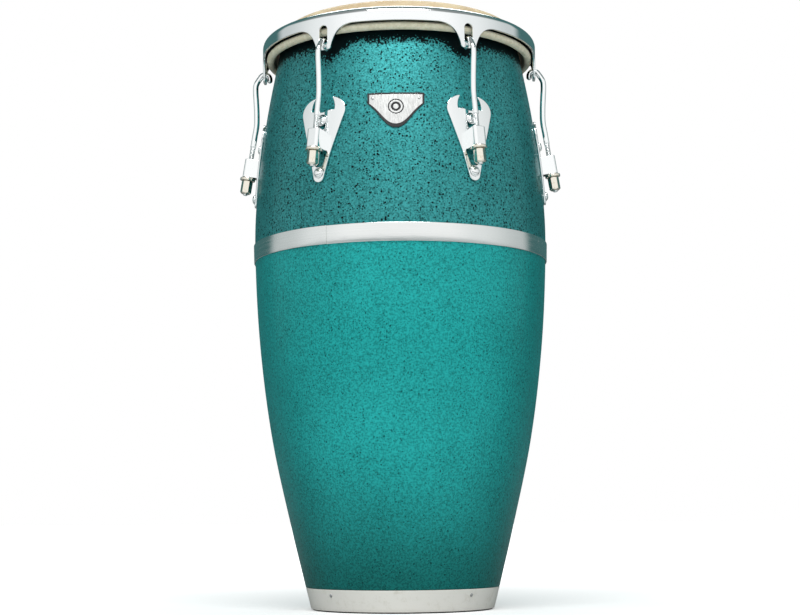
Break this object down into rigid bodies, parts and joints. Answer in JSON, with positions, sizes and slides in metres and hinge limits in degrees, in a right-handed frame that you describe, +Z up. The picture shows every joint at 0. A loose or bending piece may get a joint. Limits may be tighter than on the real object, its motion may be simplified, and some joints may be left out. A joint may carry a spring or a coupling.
{
  "type": "conga drum",
  "caption": "Tall barrel-shaped hand drum with a skin head under an eared rim, hooks in horned side plates, a band round its belly and a collar at its foot.",
  "frame": {"origin": "centre of the foot, on the floor", "axes": "+Z up the drum's axis towards the head; the badge faces -Y; +X is to the right seen from the badge side"},
  "size_m": [0.4064, 0.3674, 0.7266],
  "materials": {
    "upper_lacquer": "speckled gloss lacquer over glass fibre, bold black spatter",
    "lower_lacquer": "speckled gloss lacquer over glass fibre, fine dark spatter",
    "glass_fibre": "bare resin and glass mat",
    "band_metal": "bright flat strip",
    "collar_metal": "cream-white satin",
    "rivet_steel": "plain steel",
    "foot_rubber": "matt black",
    "badge_metal": "silver field with dark enamel border",
    "head_skin": "natural hide, mottled",
    "hem_skin": "natural hide, rolled",
    "hoop_steel": "plain steel rod",
    "rim_chrome": "polished chrome",
    "lug_chrome": "polished chrome",
    "nut_nickel": "nickel-plated brass",
    "backing_steel": "zinc-plated steel"
  },
  "bodies": {
    "drum": {"upper_shell": "upper_lacquer", "lower_shell": "lower_lacquer", "seam_sleeve": "glass_fibre", "belly_band": "band_metal", "base_collar": "collar_metal", "foot_ring": "foot_rubber", "front_badge": "badge_metal", "badge_pin_left": "rivet_steel", "badge_pin_right": "rivet_steel", "drumhead": "head_skin", "collar_rivet_1": "rivet_steel", "collar_rivet_2": "rivet_steel", "collar_rivet_3": "rivet_steel", "collar_rivet_4": "rivet_steel", "side_plate_1": "lug_chrome", "upper_bolt_1": "lug_chrome", "lower_bolt_1": "lug_chrome", "backing_plate_1": "backing_steel", "washer_1": "nut_nickel", "side_plate_2": "lug_chrome", "upper_bolt_2": "lug_chrome", "lower_bolt_2": "lug_chrome", "backing_plate_2": "backing_steel", "washer_2": "nut_nickel", "side_plate_3": "lug_chrome", "upper_bolt_3": "lug_chrome", "lower_bolt_3": "lug_chrome", "backing_plate_3": "backing_steel", "washer_3": "nut_nickel", "side_plate_4": "lug_chrome", "upper_bolt_4": "lug_chrome", "lower_bolt_4": "lug_chrome", "backing_plate_4": "backing_steel", "washer_4": "nut_nickel", "side_plate_5": "lug_chrome", "upper_bolt_5": "lug_chrome", "lower_bolt_5": "lug_chrome", "backing_plate_5": "backing_steel", "washer_5": "nut_nickel", "side_plate_6": "lug_chrome", "upper_bolt_6": "lug_chrome", "lower_bolt_6": "lug_chrome", "backing_plate_6": "backing_steel", "washer_6": "nut_nickel"},
    "crown": {"crown_rim": "rim_chrome", "head_hem": "hem_skin", "flesh_hoop": "hoop_steel"},
    "hook_1": {"tuning_hook_1": "lug_chrome"},
    "nut_1": {"tuning_nut_1": "nut_nickel"},
    "hook_2": {"tuning_hook_2": "lug_chrome"},
    "nut_2": {"tuning_nut_2": "nut_nickel"},
    "hook_3": {"tuning_hook_3": "lug_chrome"},
    "nut_3": {"tuning_nut_3": "nut_nickel"},
    "hook_4": {"tuning_hook_4": "lug_chrome"},
    "nut_4": {"tuning_nut_4": "nut_nickel"},
    "hook_5": {"tuning_hook_5": "lug_chrome"},
    "nut_5": {"tuning_nut_5": "nut_nickel"},
    "hook_6": {"tuning_hook_6": "lug_chrome"},
    "nut_6": {"tuning_nut_6": "nut_nickel"}
  },
  "joints": [
    {"name": "rim_travel", "type": "slide", "parent": "drum", "child": "crown", "axis": [0, 0, 1], "range_m": [-0.005, 0.003]},
    {"name": "hook_1_travel", "type": "slide", "parent": "drum", "child": "hook_1", "axis": [-0.079, 0.1368, 0.9874], "range_m": [-0.00516, 0.00314]},
    {"name": "nut_1_turn", "type": "hinge", "parent": "drum", "child": "nut_1", "pos_m": [0.0956, -0.16558, 0.552], "axis": [-0.079, 0.1368, 0.9874], "range_deg": [-865, 1439]},
    {"name": "hook_2_travel", "type": "slide", "parent": "drum", "child": "hook_2", "axis": [-0.158, 0, 0.9874], "range_m": [-0.00516, 0.00314]},
    {"name": "nut_2_turn", "type": "hinge", "parent": "drum", "child": "nut_2", "pos_m": [0.1912, 0, 0.552], "axis": [-0.158, 0, 0.9874], "range_deg": [-865, 1439]},
    {"name": "hook_3_travel", "type": "slide", "parent": "drum", "child": "hook_3", "axis": [-0.079, -0.1368, 0.9874], "range_m": [-0.00516, 0.00314]},
    {"name": "nut_3_turn", "type": "hinge", "parent": "drum", "child": "nut_3", "pos_m": [0.0956, 0.16558, 0.552], "axis": [-0.079, -0.1368, 0.9874], "range_deg": [-865, 1439]},
    {"name": "hook_4_travel", "type": "slide", "parent": "drum", "child": "hook_4", "axis": [0.079, -0.1368, 0.9874], "range_m": [-0.00516, 0.00314]},
    {"name": "nut_4_turn", "type": "hinge", "parent": "drum", "child": "nut_4", "pos_m": [-0.0956, 0.16558, 0.552], "axis": [0.079, -0.1368, 0.9874], "range_deg": [-865, 1439]},
    {"name": "hook_5_travel", "type": "slide", "parent": "drum", "child": "hook_5", "axis": [0.158, 0, 0.9874], "range_m": [-0.00516, 0.00314]},
    {"name": "nut_5_turn", "type": "hinge", "parent": "drum", "child": "nut_5", "pos_m": [-0.1912, 0, 0.552], "axis": [0.158, 0, 0.9874], "range_deg": [-865, 1439]},
    {"name": "hook_6_travel", "type": "slide", "parent": "drum", "child": "hook_6", "axis": [0.079, 0.1368, 0.9874], "range_m": [-0.00516, 0.00314]},
    {"name": "nut_6_turn", "type": "hinge", "parent": "drum", "child": "nut_6", "pos_m": [-0.0956, -0.16558, 0.552], "axis": [0.079, 0.1368, 0.9874], "range_deg": [-865, 1439]}
  ],
  "couplings": [
    {"joint": "hook_1_travel", "follows": "rim_travel", "ratio": 1.0127},
    {"joint": "nut_1_turn", "follows": "rim_travel", "rad_per_m": -5010.3},
    {"joint": "hook_2_travel", "follows": "rim_travel", "ratio": 1.0127},
    {"joint": "nut_2_turn", "follows": "rim_travel", "rad_per_m": -5010.3},
    {"joint": "hook_3_travel", "follows": "rim_travel", "ratio": 1.0127},
    {"joint": "nut_3_turn", "follows": "rim_travel", "rad_per_m": -5010.3},
    {"joint": "hook_4_travel", "follows": "rim_travel", "ratio": 1.0127},
    {"joint": "nut_4_turn", "follows": "rim_travel", "rad_per_m": -5010.3},
    {"joint": "hook_5_travel", "follows": "rim_travel", "ratio": 1.0127},
    {"joint": "nut_5_turn", "follows": "rim_travel", "rad_per_m": -5010.3},
    {"joint": "hook_6_travel", "follows": "rim_travel", "ratio": 1.0127},
    {"joint": "nut_6_turn", "follows": "rim_travel", "rad_per_m": -5010.3}
  ]
}
